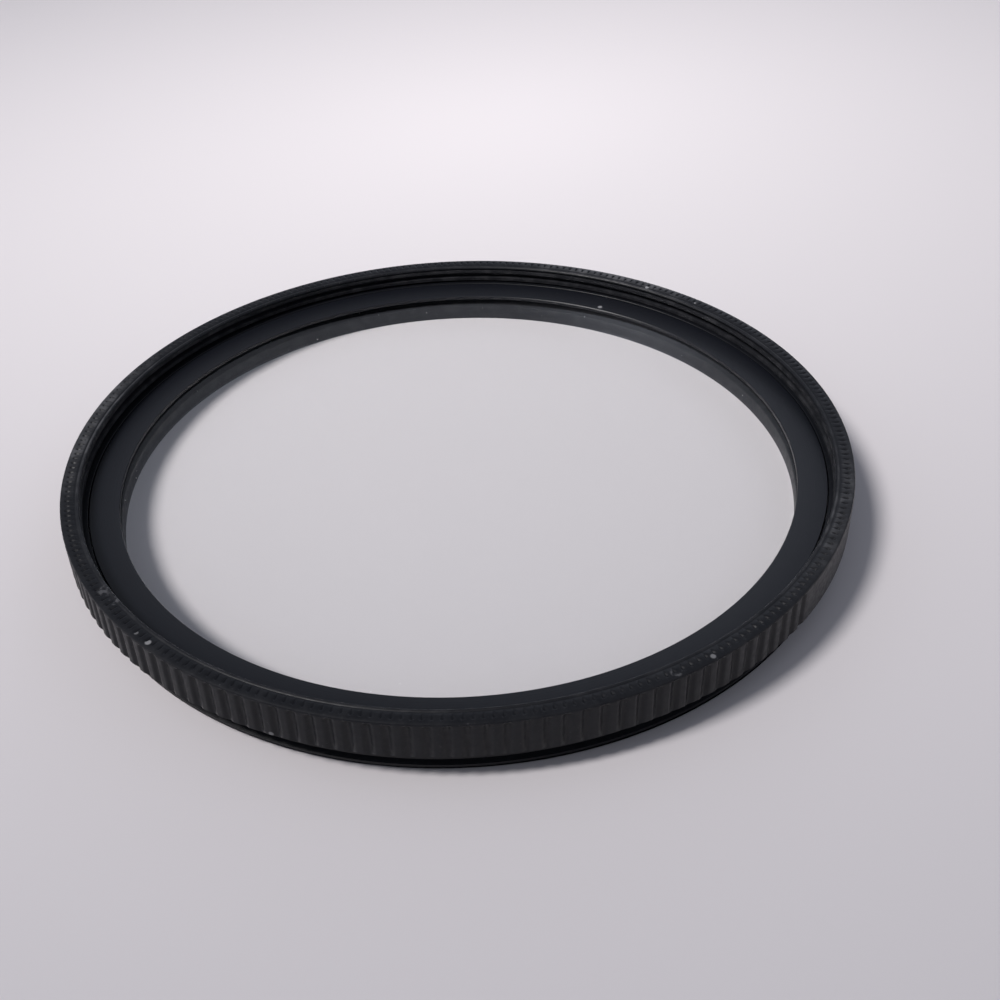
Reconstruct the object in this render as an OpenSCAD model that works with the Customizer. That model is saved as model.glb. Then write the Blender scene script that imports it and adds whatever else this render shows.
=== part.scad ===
// Clear screw-in lens filter, lying with its front side up.
// Three separate pieces: the turned frame, the glass disc and the retaining ring over it.
// The origin is on the axis, in the end face of the rear thread, and +Z points to the front.
// The threads are plain cylinders here, the rear one at its crest and the front one at its bore.

/* [Threads] */
// Nominal diameter of the front and the rear thread
thread_d = 58; // [37:0.5:95]
// Pitch of both threads
thread_pitch = 0.75; // [0.5:0.05:1]
// Length of the rear thread, from its end face to the shoulder of the rim
rear_thread_h = 2.1; // [1.8:0.1:4]
// How far the crest of the rear thread stays under the nominal radius
rear_thread_play = 0.03; // [0:0.01:0.1]
// Height of the turned relief behind the rear thread
relief_h = 0.4; // [0.2:0.05:0.7]
// Chamfer at the free end of the rear thread
rear_chamfer = 0.2; // [0.1:0.05:0.4]
// Chamfer that leads into the front thread
lead_in = 0.17; // [0.15:0.01:0.3]

/* [Rim] */
// How far the rim stands out past the nominal radius of the threads
rim_wall = 1; // [0.9:0.05:2]
// Height of the rim above its shoulder
rim_h = 3.1; // [2.7:0.1:6]
// Width of the bevel round the outer top edge
bevel_w = 0.45; // [0.2:0.05:0.5]
// Height of the bevel round the outer top edge
bevel_h = 0.25; // [0.1:0.05:0.6]
// Chamfer round the outer bottom edge, at the shoulder
foot_chamfer = 0.25; // [0.05:0.01:0.3]

/* [Knurl] */
// Pitches of the straight knurl in a whole turn
rib_count = 156; // [90:1:170]
// Pitches left plain, as a smooth pad on the side of the rim
plain_ribs = 20; // [0:1:60]
// Direction of the edge of the smooth pad, where the first groove lies
pad_edge_angle = -42.3; // [-180:0.1:180]
// Depth of the grooves between the ribs
groove_depth = 0.2; // [0.1:0.02:0.4]
// Width of a groove across its narrow inner part
groove_w = 0.42; // [0.3:0.02:0.6]
// Width across the rounded shoulders of a groove
shoulder_w = 1; // [0.7:0.02:1]
// Drop of the rib's flanks from their crest to the narrow part of the groove
shoulder_drop = 0.07; // [0.04:0.01:0.09]
// Height of the plain collar above the ribs, from the top face down
collar_h = 0.22; // [0.2:0.02:1]
// Fine notches across the top face in a whole turn
notch_count = 300; // [150:1:320]
// Radius of the round cutter that leaves a notch
notch_r = 0.18; // [0.12:0.01:0.2]
// Depth of a notch at the outer edge of the top face
notch_depth = 0.1; // [0.05:0.01:0.15]
// Length over which a notch runs out, from the outer edge of the top face inwards
notch_run = 0.55; // [0.3:0.05:0.6]

/* [Glass] */
// Thickness of the glass disc
glass_t = 1.9; // [1:0.1:2.4]
// Chamfer round both edges of the glass disc
glass_chamfer = 0.15; // [0.05:0.05:0.3]
// Gap between the glass disc and the wall of its pocket
glass_play = 0.1; // [0.05:0.01:0.2]
// Step from the bore of the front thread in to the pocket of the glass and the retaining ring
pocket_step = 0.3; // [0.3:0.05:0.6]
// Width of the lip that the glass rests on
lip_w = 2.2; // [1.5:0.1:4]
// Thickness of the lip that the glass rests on
lip_h = 1.25; // [0.8:0.05:1.6]

/* [Retaining ring] */
// Thickness of the ring at its inner edge
ring_inner_h = 0.28; // [0.2:0.02:0.6]
// How much thicker the ring is at its outer edge
ring_rise = 0.18; // [0:0.02:0.4]
// Gap between the ring and the wall of the pocket
ring_play = 0.08; // [0.05:0.01:0.15]

/* [Hidden] */
// Depth of an inner thread of 60 degrees, as a share of its pitch
inner_thread_share = 0.5413;
// Depth of the relief under the crest of an outer thread, as a share of its pitch
relief_share = 0.72;
// How far a cutter reaches past the face that it cuts
past = 0.2;
// Steps in a whole turn for the large round faces
round_steps = 360;
// Steps in a whole turn for the round cutter of a notch
notch_steps = 24;

rear_crest_r = thread_d / 2 - rear_thread_play;
relief_r = rear_crest_r - relief_share * thread_pitch;
bore_r = thread_d / 2 - inner_thread_share * thread_pitch;
pocket_r = bore_r - pocket_step;
glass_r = pocket_r - glass_play;
ring_r = pocket_r - ring_play;
opening_r = glass_r - lip_w;
rim_r = thread_d / 2 + rim_wall;
top_r = rim_r - bevel_w;
mouth_r = bore_r + lead_in;

frame_h = rear_thread_h + rim_h;
collar_z = frame_h - collar_h;
glass_top = lip_h + glass_t;
ring_edge_h = ring_inner_h + ring_rise;
pocket_top = glass_top + ring_edge_h;

rib_pitch = 360 / rib_count;
notch_pitch = 360 / notch_count;
// Fall of a notch's floor on its way out to the outer edge of the top face
notch_fall = atan(notch_depth / notch_run);
notch_len = (notch_run + bevel_w + 2 * past) / cos(notch_fall);

// Section of the frame, from its inner bottom corner round the outside and back through the bore
function frame_outline() = [
    [opening_r, 0],
    [rear_crest_r - rear_chamfer, 0],
    [rear_crest_r, rear_chamfer],
    [rear_crest_r, rear_thread_h - relief_h],
    [relief_r, rear_thread_h - relief_h],
    [relief_r, rear_thread_h],
    [rim_r - foot_chamfer, rear_thread_h],
    [rim_r, rear_thread_h + foot_chamfer],
    [rim_r, frame_h - bevel_h],
    [top_r, frame_h],
    [mouth_r, frame_h],
    [bore_r, frame_h - lead_in],
    [bore_r, pocket_top],
    [pocket_r, pocket_top],
    [pocket_r, lip_h],
    [opening_r, lip_h]
];

// Section of one groove of the knurl, with x out along the radius
function groove_outline() = [
    [past, -shoulder_w / 2],
    [0, -shoulder_w / 2],
    [-shoulder_drop, -groove_w / 2],
    [-groove_depth, 0],
    [-shoulder_drop, groove_w / 2],
    [0, shoulder_w / 2],
    [past, shoulder_w / 2]
];

// Straight grooves that leave the ribs of the knurl standing, all round but for the smooth pad
module rib_grooves() {
    for (i = [0:rib_count - plain_ribs - 1])
        rotate([0, 0, pad_edge_angle - i * rib_pitch])
            translate([rim_r, 0, rear_thread_h - past])
                linear_extrude(height = collar_z - rear_thread_h + past)
                    polygon(groove_outline());
}

// One notch in the outer part of the top face, deepest at the edge of the bevel
module crown_notch() {
    translate([top_r - notch_run, 0, frame_h + notch_r])
        rotate([0, 90 + notch_fall, 0])
            translate([0, 0, -past])
                cylinder(r = notch_r, h = notch_len, $fn = notch_steps);
}

module frame() {
    color([0.1, 0.1, 0.12])
        difference() {
            rotate_extrude($fn = round_steps) polygon(frame_outline());
            rib_grooves();
            for (i = [0:notch_count - 1])
                rotate([0, 0, i * notch_pitch]) crown_notch();
        }
}

// Clear glass disc with its edges broken, lying on the lip
module glass() {
    color([0.86, 0.9, 0.92, 0.35])
        translate([0, 0, lip_h])
            rotate_extrude($fn = round_steps)
                polygon([
                    [0, 0],
                    [glass_r - glass_chamfer, 0],
                    [glass_r, glass_chamfer],
                    [glass_r, glass_t - glass_chamfer],
                    [glass_r - glass_chamfer, glass_t],
                    [0, glass_t]
                ]);
}

// Flat ring that holds the glass down in its pocket, its face falling in towards the glass
module retaining_ring() {
    color([0.16, 0.17, 0.2])
        translate([0, 0, glass_top])
            rotate_extrude($fn = round_steps)
                polygon([
                    [opening_r, 0],
                    [ring_r, 0],
                    [ring_r, ring_edge_h],
                    [opening_r, ring_inner_h]
                ]);
}

frame();
glass();
retaining_ring();
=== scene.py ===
"""Looks of a clear screw-in lens filter: a knurled black ring with both its threads cut, the retaining
ring and the coated glass, on a pale floor. Sizes are in millimetres until a mesh is made."""

import math
from collections import namedtuple

import bmesh
import bpy
import numpy as np
from mathutils import Matrix, Vector

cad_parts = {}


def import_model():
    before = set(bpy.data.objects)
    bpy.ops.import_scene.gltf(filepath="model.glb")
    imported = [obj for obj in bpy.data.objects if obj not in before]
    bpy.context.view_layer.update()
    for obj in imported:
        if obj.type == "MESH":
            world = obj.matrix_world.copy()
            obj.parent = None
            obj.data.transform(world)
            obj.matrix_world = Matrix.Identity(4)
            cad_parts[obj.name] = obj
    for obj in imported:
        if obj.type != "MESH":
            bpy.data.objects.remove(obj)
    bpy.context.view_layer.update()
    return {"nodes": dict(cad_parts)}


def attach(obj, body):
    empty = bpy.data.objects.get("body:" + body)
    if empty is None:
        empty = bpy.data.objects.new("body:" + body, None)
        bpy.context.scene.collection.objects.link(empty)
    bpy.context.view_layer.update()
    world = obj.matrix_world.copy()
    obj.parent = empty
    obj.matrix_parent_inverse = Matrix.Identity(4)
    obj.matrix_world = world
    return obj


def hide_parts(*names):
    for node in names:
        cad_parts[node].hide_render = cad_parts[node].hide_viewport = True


MM = 0.001

# the frame's section, as the solid has it
THREAD_R = 29.0
PITCH = 0.75
REAR_H = 2.1
RIM_H = 3.1
LIP_H = 1.25
GLASS_T = 1.9
GLASS_TOP = LIP_H + GLASS_T
FRAME_H = REAR_H + RIM_H
RIM_R = THREAD_R + 1.0
TOP_R = RIM_R - 0.45
FOOT_CHAMFER = 0.25
BORE_R = THREAD_R - 0.5413 * PITCH
MOUTH_R = BORE_R + 0.17
POCKET_R = BORE_R - 0.3
OPENING_R = POCKET_R - 2.3
REAR_CREST_R = THREAD_R - 0.03
RELIEF_R = REAR_CREST_R - 0.72 * PITCH
RELIEF_H = 0.4
REAR_CHAMFER = 0.2
EDGE_ROUND = 0.03
LIP_EDGE = 0.12

# the retaining ring over the glass, whose top is also the step at the front thread's inner end
RING_R = POCKET_R - 0.08
RING_INNER_TOP = GLASS_TOP + 0.28
RING_OUTER_TOP = RING_INNER_TOP + 0.18
RING_EDGE = 0.05
RING_BURR = 0.01
POCKET_TOP = RING_OUTER_TOP

# the knurl, and how its ribs round off at their top: how far below the top of the ribs, the share of
# the groove's depth there, and the wear on the ribs' crests
RIB_COUNT = 156
PLAIN_RIBS = 20
PAD_EDGE_DEG = -42.3
GROOVE_DEPTH = 0.2
GROOVE_HALF_W = 0.5
GROOVE_SHARPNESS = 1.5
RIB_TOP_Z = FRAME_H - 0.22
RIB_TOP_ROUND = [(0.15, 1.0, 0.15), (0.08, 0.85, 0.2), (0.0, 0.35, 0.3)]
RIB_WEAR = 0.1
RIB_CREST_SHARE = 0.4
KNURL_COLUMNS = 3000

# the notches of the top face. Their floor falls outwards along a bow over the run and rises again over
# the short end on the bevel. What lies deeper than a notch shows keeps the little wear of a notch.
NOTCH_COUNT = 300
NOTCH_DEPTH = 0.11
NOTCH_HALF_W = 0.18
NOTCH_RUN = 0.55
NOTCH_END = 0.12
NOTCH_BOW = 0.6
NOTCH_SEED = 7
NOTCH_SHOWS = 0.02
NOTCH_WEAR = 0.1

# the top face from the upper edge of the ribs inwards, each point with its wear: a bevel that falls a
# little towards the wall, as the photograph's outline has it, the notched crown, a shallow valley and
# the bead round the mouth
TOP_WEAR = 0.35
BEAD_WEAR = 0.9
TOP_PROFILE = [
    (RIM_R - 0.01, FRAME_H - 0.14, TOP_WEAR),
    (RIM_R - 0.05, FRAME_H - 0.06, TOP_WEAR),
    (RIM_R - 0.15, FRAME_H - 0.025, TOP_WEAR),
    (TOP_R + NOTCH_END, FRAME_H - 0.008, TOP_WEAR),
    (TOP_R + 0.03, FRAME_H, TOP_WEAR),
    (TOP_R - 0.04, FRAME_H, TOP_WEAR),
    (TOP_R - 0.14, FRAME_H, TOP_WEAR),
    (TOP_R - 0.28, FRAME_H - 0.004, TOP_WEAR),
    (TOP_R - 0.42, FRAME_H - 0.025, TOP_WEAR),
    (TOP_R - 0.56, FRAME_H - 0.07, TOP_WEAR),
    (TOP_R - 0.63, FRAME_H - 0.085, TOP_WEAR),
    (MOUTH_R + 0.07, FRAME_H - 0.035, BEAD_WEAR),
    (MOUTH_R, FRAME_H - 0.025, BEAD_WEAR),
    (MOUTH_R - 0.08, FRAME_H - 0.06, TOP_WEAR),
    (MOUTH_R - 0.13, FRAME_H - 0.12, TOP_WEAR),
]
MOUTH_LOW = FRAME_H - 0.2

# arcs of the top face with painted highlights, which stand for glints of the lamp on the notched crown: the
# direction of the middle and the half width in degrees, and how much painted highlight they add, fading to
# both ends. The reach is how far below the top they still go.
HIGHLIGHT_ARCS = [(60.0, 20.0, 4.2), (-24.0, 22.0, 2.0), (170.0, 22.0, 4.0)]
ARC_FADE = 1.4
ARC_REACH = 0.05

# both threads, right-hand, with the height of a crest at angle 0, the widths of crest and root along
# the axis, and the wear of the crests
Thread = namedtuple("Thread", "crest_z crest_r root_r crest_w root_w wear")
FRONT_THREAD = Thread(FRAME_H - 1.25 - PITCH / 4, BORE_R, THREAD_R, 0.28, 0.25, 1.5)
REAR_THREAD = Thread(0.6, REAR_CREST_R, REAR_CREST_R - 0.6 * PITCH, 0.2, 0.1, 0.2)

# the plain turned faces, with the value for worn edges that is also painted sheen on the lip's inner wall,
# and how the finished meshes are welded and smoothed
EDGE_WEAR_AND_SHEEN = 0.8
TURNED_COLUMNS = 720
WELD = 0.0004
SMOOTH_DEG = 32

# grains of dust and nicks, each a place and a radius in millimetres and a grey shade
FRAME_SPECKS = [
    ((18.06, 22.81, 5.2), 0.22, 0.25),
    ((21.89, 19.37, 5.2), 0.12, 0.2),
    ((15.12, -25.5, 5.12), 0.24, 0.16),
    ((-20.53, -21.28, 5.15), 0.26, 0.22),
    ((-21.44, -20.32, 5.2), 0.18, 0.12),
    ((-12.54, -27.25, 2.45), 0.2, 0.16),
]
RING_SPECK = ((13.74, 22.61, 3.43), 0.26, 0.22)

# rubbed places, each with its radius
FRAME_SCUFFS = [
    ((12.6, -26.7, 5.2), 0.45),
    ((-24.18, -15.86, 5.2), 0.7),
    ((-23.32, -16.95, 5.2), 0.6),
]

# colours of what lies on the black or shows through it, the rubbed black also serving as painted highlight
# and sheen, and the height of the finest marks in metres
DUST = (0.2, 0.2, 0.21, 1)
RUBBED_BLACK_AND_SHEEN = (0.07, 0.07, 0.074, 1)
RUBBED_RING = (0.2, 0.21, 0.22, 1)
FINE_RELIEF = 0.00001

# the camera, fitted to the photograph
CAMERA_LENS = 47.08
CAMERA_DISTANCE = 101.472
CAMERA_ELEVATION = 34.38
CAMERA_YAW = 1.689
CAMERA_PITCH = -2.82
CAMERA_ROLL = -3.036

# the main lamp, with its place and aim in metres
KEY_PLACE = (-0.376, -0.129, 0.636)
KEY_AIM = (0.01, 0.08, 0.0)
KEY_ENERGY = 31.0
KEY_COLOUR = (1.0, 0.97, 0.97)
KEY_CONE_DEG = 21.8
KEY_BLEND = 0.4
KEY_RADIUS = 0.13

# the light of the room: what is dim everywhere, and its soft parts, each with a direction, the cosines
# at which it starts and is full, and how much it adds or, in the dark part high at the back, takes away
WORLD_DIM = (0.1, 0.1062, 0.1235)
WORLD_PARTS = [
    ((0.0, 0.9, 0.5), 0.75, 0.95, 0.18),
    ((0.0, 0.7, 0.72), 0.93, 0.985, -0.18),
    ((-0.88, -0.1, 0.6), 0.45, 1.0, 0.29),
    ((0.8, 0.2, 0.55), 0.6, 1.0, 0.28),
    ((0.0, -0.95, 0.3), 0.7, 1.0, 0.18),
    ((0.2, 0.92, 0.33), 0.975, 0.995, 0.8),
]
FLOOR_REACH = 4.0


def turn(r, z, angles):
    """Points at radius r and height z for each angle, in metres. r and z are numbers or arrays."""
    r = np.broadcast_to(np.asarray(r, float), angles.shape)
    z = np.broadcast_to(np.asarray(z, float), angles.shape)
    return np.stack([r * np.cos(angles), r * np.sin(angles), z], -1) * MM


class Skin:
    """Gathers strips of quads round the axis, with a value at each point for wear and for painted sheen and
    highlights.
    """

    def __init__(self):
        self.points = []
        self.wear = []
        self.faces = []
        self.count = 0

    def strip(self, rows, wear, closed=True):
        """rows goes along the section with the material on its right, each row once round the axis."""
        n_rows, n_columns = rows.shape[:2]
        index = self.count + np.arange(n_rows * n_columns).reshape(n_rows, n_columns)
        after = np.roll(index, -1, 1) if closed else index[:, 1:]
        here = index if closed else index[:, :-1]
        quads = np.stack([here[:-1], after[:-1], after[1:], here[1:]], -1)
        self.points.append(rows.reshape(-1, 3))
        self.wear.append(wear.reshape(-1))
        self.faces.append(quads.reshape(-1, 4))
        self.count += n_rows * n_columns

    def build(self, name):
        """The strips as one object, welded and shaded smooth."""
        mesh = bpy.data.meshes.new(name)
        points = np.concatenate(self.points)
        mesh.from_pydata(points.tolist(), [], np.concatenate(self.faces).tolist())
        wear = mesh.attributes.new("wear", "FLOAT", "POINT")
        wear.data.foreach_set("value", np.concatenate(self.wear))
        piece = bpy.data.objects.new(name, mesh)
        bpy.context.scene.collection.objects.link(piece)
        tidy(mesh)
        mesh.polygons.foreach_set("use_smooth", [True] * len(mesh.polygons))
        mesh.set_sharp_from_angle(angle=math.radians(SMOOTH_DEG))
        return piece


def tidy(mesh):
    """Joins points that lie together and drops the faces that have no area."""
    work = bmesh.new()
    work.from_mesh(mesh)
    bmesh.ops.remove_doubles(work, verts=work.verts, dist=WELD * MM)
    bmesh.ops.dissolve_degenerate(work, dist=WELD * MM, edges=work.edges)
    bmesh.ops.recalc_face_normals(work, faces=work.faces)
    work.to_mesh(mesh)
    work.free()


def groove_radius(angles):
    """Radius of the knurled wall at each angle, with rounded ribs between rounded grooves."""
    pitch = 2 * math.pi / RIB_COUNT
    turned = (math.radians(PAD_EDGE_DEG) - angles) % (2 * math.pi)
    number = np.round(turned / pitch)
    offset = np.abs(turned - number * pitch) * RIM_R
    knurled = (number <= RIB_COUNT - PLAIN_RIBS - 1) | (number == RIB_COUNT)
    wave = 0.5 + 0.5 * np.cos(math.pi * np.minimum(offset / GROOVE_HALF_W, 1))
    return RIM_R - np.where(knurled, GROOVE_DEPTH * wave**GROOVE_SHARPNESS, 0)


def notch_flanks(angles, r):
    """Height of the notches' flanks at each angle and radius r. Between the notches it is above the rim."""
    pitch = 2 * math.pi / NOTCH_COUNT
    number = np.round(angles / pitch).astype(int)
    offset = np.abs(angles - number * pitch) * r
    uneven = np.random.default_rng(NOTCH_SEED).random(NOTCH_COUNT)[number % NOTCH_COUNT]
    inner_fall = max((r - TOP_R + NOTCH_RUN) / NOTCH_RUN, 0) ** NOTCH_BOW
    outer_fall = 1 - (r - TOP_R) / NOTCH_END
    fall = NOTCH_DEPTH * min(inner_fall, outer_fall) * (0.85 + 0.3 * uneven)
    return FRAME_H - fall + offset * NOTCH_DEPTH / NOTCH_HALF_W


def painted_highlight_arcs(angles):
    """Painted highlight of the top face at each angle, added to its wear value as brighter colour."""
    arc_highlight = 0 * angles
    for middle, half_width, strength in HIGHLIGHT_ARCS:
        away = np.abs((np.degrees(angles) - middle + 180) % 360 - 180)
        arc_highlight += strength * np.clip(ARC_FADE * (1 - away / half_width), 0, 1)
    return arc_highlight


def outer_rows():
    """The knurled wall, the bevel and the notched top face, from the foot up and in to the mouth."""
    angles = np.arange(KNURL_COLUMNS) * 2 * math.pi / KNURL_COLUMNS
    unworn = 0 * angles
    groove = groove_radius(angles)
    depth = RIM_R - groove
    crest = np.clip(1 - depth / (RIB_CREST_SHARE * GROOVE_DEPTH), 0, 1)
    foot_r = np.minimum(RIM_R - FOOT_CHAMFER, groove)
    foot_top = REAR_H + np.maximum(groove - foot_r, 2 * EDGE_ROUND)
    rows = [
        turn(RELIEF_R, REAR_H, angles),
        turn(foot_r - EDGE_ROUND, REAR_H, angles),
        turn(foot_r, REAR_H + EDGE_ROUND, angles),
        turn(groove, foot_top, angles),
    ]
    wear = [unworn, unworn, RIB_WEAR * crest, RIB_WEAR * crest]
    for below, share, worn_and_lit in RIB_TOP_ROUND:
        rows.append(turn(RIM_R - share * depth, RIB_TOP_Z - below, angles))
        wear.append(worn_and_lit * crest)
    # painted highlights on arcs of the crown, standing for glints of the lamp, go into the same value as the
    # wear
    arc_highlight = painted_highlight_arcs(angles)
    for r, face, worn_and_lit in TOP_PROFILE:
        z = np.minimum(face, notch_flanks(angles, r))
        if face > FRAME_H - ARC_REACH:
            worn_and_lit = worn_and_lit + arc_highlight
        rows.append(turn(r, z, angles))
        wear.append(np.where(z < face - NOTCH_SHOWS, NOTCH_WEAR, worn_and_lit))
    return np.array(rows), np.array(wear)


def helix_rows(low_z, high_z, thread, down):
    """Rows that follow a right-hand thread between two heights, one turn each, left open at the seam.

    Rows that would lie past one of the two heights lie on it."""
    angles = np.linspace(0, 2 * math.pi, TURNED_COLUMNS + 1)
    rise = PITCH * angles / (2 * math.pi)
    flank = (PITCH - thread.crest_w - thread.root_w) / 2
    turns = math.ceil((high_z - low_z) / PITCH) + 2
    first = thread.crest_z - PITCH * math.ceil((thread.crest_z - low_z) / PITCH + 1)
    corners = []
    for i in range(turns + 1):
        crest_top = first + i * PITCH + thread.crest_w / 2
        corners += [
            (crest_top - thread.crest_w, thread.crest_r),
            (crest_top, thread.crest_r),
            (crest_top + flank, thread.root_r),
            (crest_top + flank + thread.root_w, thread.root_r),
        ]
    known_z, known_r = np.array(corners).T
    rows = []
    wear = []
    for z in known_z:
        at = np.clip(z + rise, low_z, high_z)
        radius = np.interp(at - rise, known_z, known_r)
        rows.append(turn(radius, at, angles))
        wear.append(np.where(np.isclose(radius, thread.crest_r), thread.wear, 0.0))
    if down:
        rows.reverse()
        wear.reverse()
    return np.array(rows), np.array(wear)


def turned_rows(corners):
    """Rows for the corners of a plain turned section, each a radius, a height and a value for wear and
    painted sheen.
    """
    angles = np.arange(TURNED_COLUMNS) * 2 * math.pi / TURNED_COLUMNS
    rows = [turn(r, z, angles) for r, z, worn_and_lit in corners]
    wear = [np.full(angles.shape, float(worn_and_lit)) for r, z, worn_and_lit in corners]
    return np.array(rows), np.array(wear)


def make_frame():
    """The whole frame, from the foot of the knurl over the top, down the bore and out to the relief."""
    mouth_r, mouth_z, _ = TOP_PROFILE[-1]
    thread_top = REAR_H - RELIEF_H
    skin = Skin()
    skin.strip(*outer_rows())
    skin.strip(*turned_rows([(mouth_r, mouth_z, 0), (BORE_R, MOUTH_LOW, 0)]))
    skin.strip(*helix_rows(POCKET_TOP, MOUTH_LOW, FRONT_THREAD, down=True), closed=False)
    skin.strip(*turned_rows([
        (THREAD_R, POCKET_TOP, 0),
        (POCKET_R + EDGE_ROUND, POCKET_TOP, 0),
        (POCKET_R, POCKET_TOP - EDGE_ROUND, 0),
        (POCKET_R, LIP_H, 0),
        # the lip's top edge and inner wall are lighter: painted sheen that stands for the light they reflect
        # through the glass; the rear face keeps the same value as wear
        (OPENING_R + LIP_EDGE, LIP_H, EDGE_WEAR_AND_SHEEN),
        (OPENING_R + 0.3 * LIP_EDGE, LIP_H - 0.3 * LIP_EDGE, EDGE_WEAR_AND_SHEEN),
        (OPENING_R, LIP_H - LIP_EDGE, EDGE_WEAR_AND_SHEEN),
        (OPENING_R, EDGE_ROUND, EDGE_WEAR_AND_SHEEN),
        (OPENING_R + EDGE_ROUND, 0, EDGE_WEAR_AND_SHEEN),
        (REAR_CREST_R - REAR_CHAMFER, 0, EDGE_WEAR_AND_SHEEN),
        (REAR_CREST_R, REAR_CHAMFER, 0),
    ]))
    skin.strip(*helix_rows(REAR_CHAMFER, thread_top, REAR_THREAD, down=False), closed=False)
    skin.strip(*turned_rows([
        (REAR_CREST_R, thread_top, 0),
        (RELIEF_R, thread_top, 0),
        (RELIEF_R, REAR_H, 0),
    ]))
    return skin.build("frame_knurled")


def make_ring():
    """The retaining ring, with a small burr worn bright round its inner edge."""
    skin = Skin()
    skin.strip(*turned_rows([
        (OPENING_R, GLASS_TOP, 0),
        (RING_R, GLASS_TOP, 0),
        (RING_R, RING_OUTER_TOP - RING_EDGE, 0),
        (RING_R - RING_EDGE, RING_OUTER_TOP, 0),
        (OPENING_R + RING_EDGE, RING_INNER_TOP + RING_BURR, EDGE_WEAR_AND_SHEEN),
        (OPENING_R, RING_INNER_TOP - RING_EDGE, 0),
        (OPENING_R, GLASS_TOP, 0),
    ]))
    return skin.build("retaining_ring_turned")


class Nodes:
    """A material's node tree, with one method for each kind of node that is used."""

    def __init__(self, name):
        self.material = bpy.data.materials.new(name)
        self.material.use_nodes = True
        self.tree = self.material.node_tree
        self.tree.nodes.clear()
        self.shader = self.tree.nodes.new("ShaderNodeBsdfPrincipled")
        output = self.tree.nodes.new("ShaderNodeOutputMaterial")
        self.link(self.shader.outputs[0], output.inputs["Surface"])
        self.place = self.tree.nodes.new("ShaderNodeTexCoord").outputs["Object"]

    def link(self, a, b):
        self.tree.links.new(a, b)

    def put(self, value, socket):
        if isinstance(value, (int, float, tuple)):
            socket.default_value = value
        else:
            self.link(value, socket)

    def math(self, operation, a, b=0.0):
        node = self.tree.nodes.new("ShaderNodeMath")
        node.operation = operation
        self.put(a, node.inputs[0])
        self.put(b, node.inputs[1])
        return node.outputs[0]

    def remap(self, value, low, high, to_low=0.0, to_high=1.0):
        node = self.tree.nodes.new("ShaderNodeMapRange")
        node.interpolation_type = "SMOOTHSTEP"
        for v, socket in zip((value, low, high, to_low, to_high), node.inputs):
            self.put(v, socket)
        return node.outputs[0]

    def noise(self, scale, detail, vector=None):
        node = self.tree.nodes.new("ShaderNodeTexNoise")
        self.link(vector or self.place, node.inputs["Vector"])
        node.inputs["Scale"].default_value = scale
        node.inputs["Detail"].default_value = detail
        return node.outputs[0]

    def mix(self, factor, a, b):
        node = self.tree.nodes.new("ShaderNodeMix")
        node.data_type = "RGBA"
        self.put(factor, node.inputs[0])
        self.put(a, node.inputs[6])
        self.put(b, node.inputs[7])
        return node.outputs[2]

    def wear(self):
        """The value for wear and for painted sheen and highlights that a skin has stored at each point."""
        node = self.tree.nodes.new("ShaderNodeAttribute")
        node.attribute_name = "wear"
        return node.outputs["Fac"]

    def turned(self):
        """Coordinates that change with the radius and the height only, for marks of the lathe."""
        split = self.tree.nodes.new("ShaderNodeSeparateXYZ")
        self.link(self.place, split.inputs[0])
        x, y, z = split.outputs
        radius = self.math("SQRT", self.math("ADD", self.math("MULTIPLY", x, x), self.math("MULTIPLY", y, y)))
        join = self.tree.nodes.new("ShaderNodeCombineXYZ")
        self.link(radius, join.inputs[0])
        self.link(z, join.inputs[1])
        return join.outputs[0]

    def near(self, point, radius):
        """1 within that distance in millimetres of a point in millimetres, fading out to 0."""
        node = self.tree.nodes.new("ShaderNodeVectorMath")
        node.operation = "DISTANCE"
        self.link(self.place, node.inputs[0])
        node.inputs[1].default_value = [v * MM for v in point]
        return self.remap(node.outputs["Value"], 0.6 * radius * MM, radius * MM, 1.0, 0.0)

    def speck(self, colour, point, radius, shade):
        """The same colour with a small round mark of a grey shade at a point in millimetres."""
        return self.mix(self.near(point, radius), colour, (shade, shade, 1.03 * shade, 1))

    def bump(self, height):
        """Marks too fine to model, from a height between 0 and 1."""
        node = self.tree.nodes.new("ShaderNodeBump")
        node.inputs["Distance"].default_value = FINE_RELIEF
        self.link(height, node.inputs["Height"])
        self.link(node.outputs[0], self.shader.inputs["Normal"])


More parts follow.
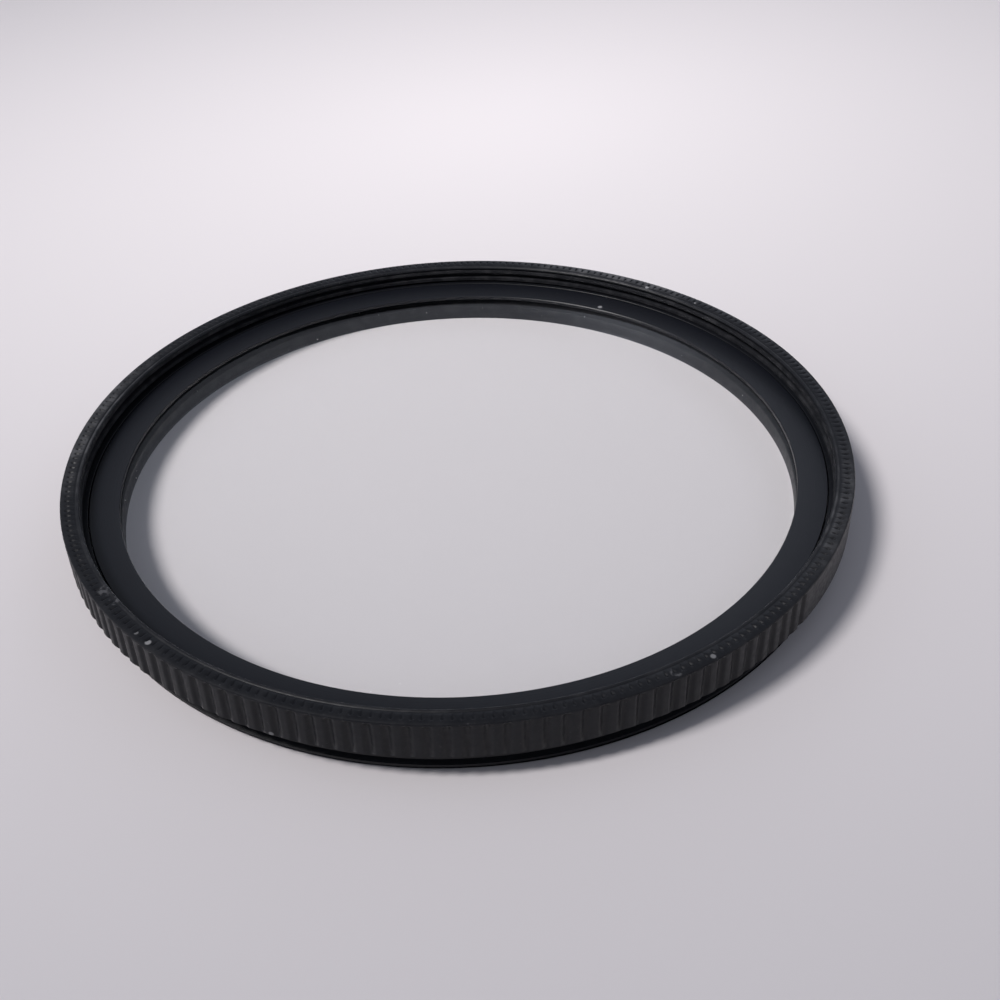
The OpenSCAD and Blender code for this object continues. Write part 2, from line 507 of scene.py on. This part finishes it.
def anodised_frame():
    """Satin black, with the lathe's fine marks, dust, nicks, edges worn a little brighter, and painted
    highlights and sheen that lighten it where the stored value carries them.
    """
    n = Nodes("anodised_frame")
    broad = n.noise(180.0, 3.0)
    fine = n.noise(2600.0, 2.0)
    lathe = n.noise(9000.0, 2.0, n.turned())
    patchy = n.remap(n.noise(900.0, 4.0), 0.42, 0.7, 0.3, 1.0)
    # wear, painted highlights and painted sheen, all from the one stored value, lighten the colour towards
    # the rubbed black
    rub_and_sheen = n.math("MULTIPLY", n.wear(), patchy)
    dust = n.remap(n.noise(5200.0, 1.0), 0.7, 0.8)
    colour = n.mix(broad, (0.0051, 0.0057, 0.0077, 1), (0.0074, 0.0081, 0.0104, 1))
    colour = n.mix(n.math("MULTIPLY", rub_and_sheen, 0.3), colour, RUBBED_BLACK_AND_SHEEN)
    colour = n.mix(n.math("MULTIPLY", dust, 0.12), colour, DUST)
    for point, radius, shade in FRAME_SPECKS:
        colour = n.speck(colour, point, radius, shade)
    scuffed = n.remap(n.noise(3200.0, 1.0), 0.45, 0.65)
    for point, radius in FRAME_SCUFFS:
        scuff = n.math("MULTIPLY", n.near(point, radius), scuffed)
        colour = n.mix(n.math("MULTIPLY", scuff, 0.35), colour, DUST)
    n.link(colour, n.shader.inputs["Base Color"])
    n.link(n.remap(fine, 0.3, 0.7, 0.36, 0.48), n.shader.inputs["Roughness"])
    n.shader.inputs["IOR"].default_value = 1.3
    n.bump(n.math("ADD", n.math("MULTIPLY", lathe, 0.6), n.math("MULTIPLY", fine, 0.6)))
    return n.material


def anodised_ring():
    """Matt black with fine rings left by turning, and a grain of dust on its inner edge."""
    n = Nodes("anodised_ring")
    streak = n.noise(14000.0, 2.0, n.turned())
    fine = n.noise(3000.0, 2.0)
    colour = n.mix(streak, (0.0046, 0.0054, 0.0082, 1), (0.0064, 0.0072, 0.0106, 1))
    colour = n.mix(n.math("MULTIPLY", n.wear(), 0.05), colour, RUBBED_RING)
    colour = n.speck(colour, *RING_SPECK)
    n.link(colour, n.shader.inputs["Base Color"])
    n.link(n.remap(fine, 0.3, 0.7, 0.3, 0.33), n.shader.inputs["Roughness"])
    n.shader.inputs["IOR"].default_value = 1.42
    n.bump(streak)
    return n.material


def coated_glass():
    """Clear glass with a faint coating and a few specks of dust."""
    n = Nodes("coated_glass")
    dust = n.remap(n.noise(3600.0, 1.0), 0.79, 0.84)
    haze = n.remap(n.noise(60.0, 3.0), 0.45, 0.75)
    roughness = n.math("ADD", n.math("MULTIPLY", haze, 0.012), n.math("MULTIPLY", dust, 0.5))
    clear = n.math("SUBTRACT", 1.0, n.math("MULTIPLY", dust, 0.3))
    n.link(n.mix(dust, (0.99, 1.0, 0.995, 1), (0.8, 0.8, 0.8, 1)), n.shader.inputs["Base Color"])
    n.link(roughness, n.shader.inputs["Roughness"])
    n.link(clear, n.shader.inputs["Transmission Weight"])
    n.shader.inputs["IOR"].default_value = 1.5
    n.shader.inputs["Specular IOR Level"].default_value = 0.25
    return n.material


def pale_floor():
    """Matt and pale, a little uneven."""
    n = Nodes("pale_floor")
    cloud = n.noise(3.0, 2.0)
    n.link(n.mix(cloud, (0.69, 0.66, 0.67, 1), (0.72, 0.69, 0.7, 1)), n.shader.inputs["Base Color"])
    n.shader.inputs["Roughness"].default_value = 0.9
    n.shader.inputs["Specular IOR Level"].default_value = 0.1
    return n.material


def swing(a, b, degrees):
    """Two axes at a right angle, turned by that many degrees from the first towards the second."""
    c = math.cos(math.radians(degrees))
    s = math.sin(math.radians(degrees))
    return a * c + b * s, b * c - a * s


def make_camera():
    """Looks from the near side towards the middle of the rim's top, then turns a little off it."""
    back, up = swing(Vector((0, -1, 0)), Vector((0, 0, 1)), CAMERA_ELEVATION)
    place = (back * CAMERA_DISTANCE + Vector((0, 0, FRAME_H))) * MM
    forward, right = swing(-back, Vector((1, 0, 0)), CAMERA_YAW)
    forward, up = swing(forward, up, CAMERA_PITCH)
    right, up = swing(right, up, CAMERA_ROLL)
    data = bpy.data.cameras.new("photo_camera")
    data.sensor_width = 36
    data.lens = CAMERA_LENS
    data.clip_start = 0.002
    data.clip_end = 20
    camera = bpy.data.objects.new("photo_camera", data)
    turned = Matrix((right, up, -forward)).transposed().to_4x4()
    camera.matrix_world = Matrix.Translation(place) @ turned
    bpy.context.scene.collection.objects.link(camera)
    bpy.context.scene.camera = camera


def make_key():
    """The soft main light from the left, on the filter and the floor behind it. It fades to the front."""
    data = bpy.data.lights.new("key", "SPOT")
    data.energy = KEY_ENERGY
    data.color = KEY_COLOUR
    data.spot_size = math.radians(KEY_CONE_DEG)
    data.spot_blend = KEY_BLEND
    data.shadow_soft_size = KEY_RADIUS
    lamp = bpy.data.objects.new("key", data)
    lamp.location = KEY_PLACE
    towards = Vector(KEY_AIM) - Vector(KEY_PLACE)
    lamp.rotation_euler = towards.to_track_quat("-Z", "Y").to_euler()
    bpy.context.scene.collection.objects.link(lamp)


def make_world():
    """The dim light of the room, with its brighter and darker parts added to its strength of 1."""
    world = bpy.data.worlds.new("pale_room")
    world.use_nodes = True
    tree = world.node_tree
    direction = tree.nodes.new("ShaderNodeTexCoord").outputs["Generated"]
    level = tree.nodes.new("ShaderNodeValue").outputs[0]
    level.default_value = 1.0
    for towards, start, full, gain in WORLD_PARTS:
        dot = tree.nodes.new("ShaderNodeVectorMath")
        dot.operation = "DOT_PRODUCT"
        dot.inputs[1].default_value = Vector(towards).normalized()
        tree.links.new(direction, dot.inputs[0])
        part = tree.nodes.new("ShaderNodeMapRange")
        part.interpolation_type = "SMOOTHSTEP"
        part.inputs["From Min"].default_value = start
        part.inputs["From Max"].default_value = full
        part.inputs["To Max"].default_value = gain / WORLD_DIM[0]
        tree.links.new(dot.outputs["Value"], part.inputs["Value"])
        total = tree.nodes.new("ShaderNodeMath")
        tree.links.new(level, total.inputs[0])
        tree.links.new(part.outputs[0], total.inputs[1])
        level = total.outputs[0]
    back = tree.nodes["Background"]
    back.inputs["Color"].default_value = (*WORLD_DIM, 1)
    tree.links.new(level, back.inputs["Strength"])
    bpy.context.scene.world = world


def make_floor():
    """A wide flat square under the filter."""
    mesh = bpy.data.meshes.new("floor")
    corners = [(-1, -1), (1, -1), (1, 1), (-1, 1)]
    mesh.from_pydata([(x * FLOOR_REACH, y * FLOOR_REACH, 0) for x, y in corners], [], [(0, 1, 2, 3)])
    mesh.materials.append(pale_floor())
    floor = bpy.data.objects.new("floor", mesh)
    bpy.context.scene.collection.objects.link(floor)


def dress(piece, node, material):
    """Gives a new piece its material and its body, and hides the node that it stands in for."""
    piece.data.materials.append(material)
    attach(piece, "root")
    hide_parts(node)


def clear_glass(glass):
    """Gives the solid glass its material. It casts no shadow and takes no part in diffuse light."""
    material = coated_glass()
    for slot in glass.material_slots:
        slot.material = material
    glass.visible_shadow = False
    glass.visible_diffuse = False


def main():
    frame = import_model()
    dress(make_frame(), "frame", anodised_frame())
    dress(make_ring(), "retaining_ring", anodised_ring())
    clear_glass(frame["nodes"]["glass"])

    make_floor()
    make_world()
    make_key()
    make_camera()
    bpy.context.scene.view_settings.view_transform = "Standard"


main()
